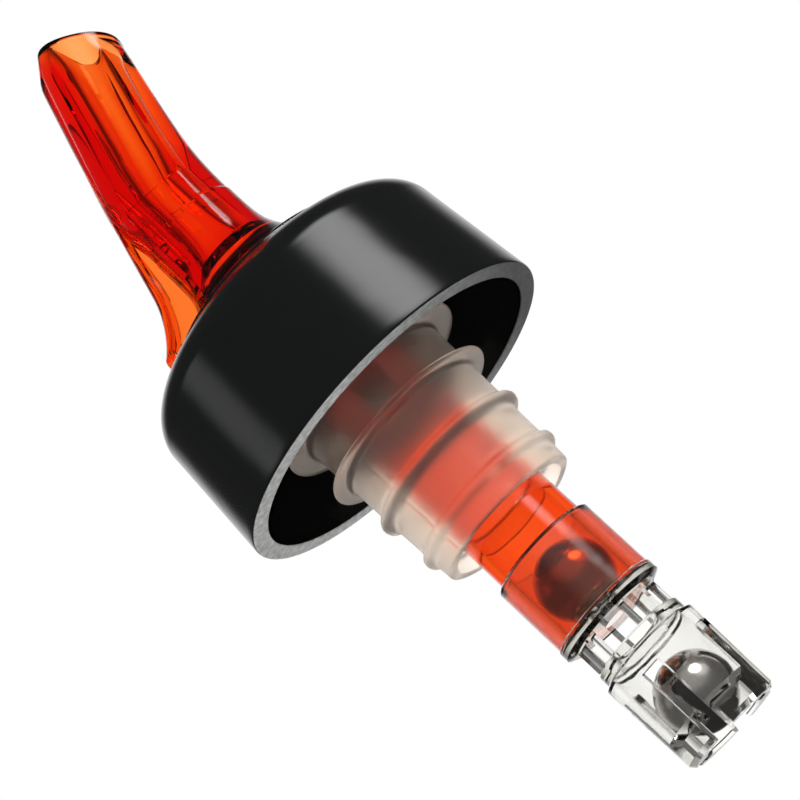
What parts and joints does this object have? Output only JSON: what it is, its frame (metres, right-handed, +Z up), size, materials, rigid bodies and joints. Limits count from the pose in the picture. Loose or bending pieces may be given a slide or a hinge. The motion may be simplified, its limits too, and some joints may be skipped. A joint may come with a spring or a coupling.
{
  "type": "measured liquor pourer",
  "caption": "Measured liquor pourer with a clear red spout, black bottle collar, finned hollow cork, clear ball-cage end cap and steel balls.",
  "frame": {"origin": "on the cork's axis, at the middle of the upper sealing bead, where the bottle's neck grips", "axes": "+Z up the cork's axis towards the spout, +X the way the spout leans, +Y across the flat sides"},
  "size_m": [0.045, 0.045, 0.1161],
  "materials": {
    "spout_body": "clear",
    "collar": "glossy",
    "cork": "frosted",
    "end_cap": "clear",
    "timing_ball": "polished",
    "check_ball": "polished",
    "vent_ball": "polished",
    "vent_tube": "clear"
  },
  "bodies": {
    "body": {"spout_body": "spout_body", "collar": "collar", "cork": "cork", "end_cap": "end_cap", "vent_tube": "vent_tube"},
    "timing": {"timing_ball": "timing_ball"},
    "check": {"check_ball": "check_ball"},
    "vent": {"vent_ball": "vent_ball"}
  },
  "joints": [
    {"name": "timing_slide", "type": "slide", "parent": "body", "child": "timing", "axis": [0, 0, 1], "range_m": [0, 0.0524]},
    {"name": "check_slide", "type": "slide", "parent": "body", "child": "check", "axis": [0, 0, 1], "range_m": [0, 0.0038]},
    {"name": "vent_slide", "type": "slide", "parent": "body", "child": "vent", "axis": [0, 0, 1], "range_m": [0, 0.002]}
  ]
}
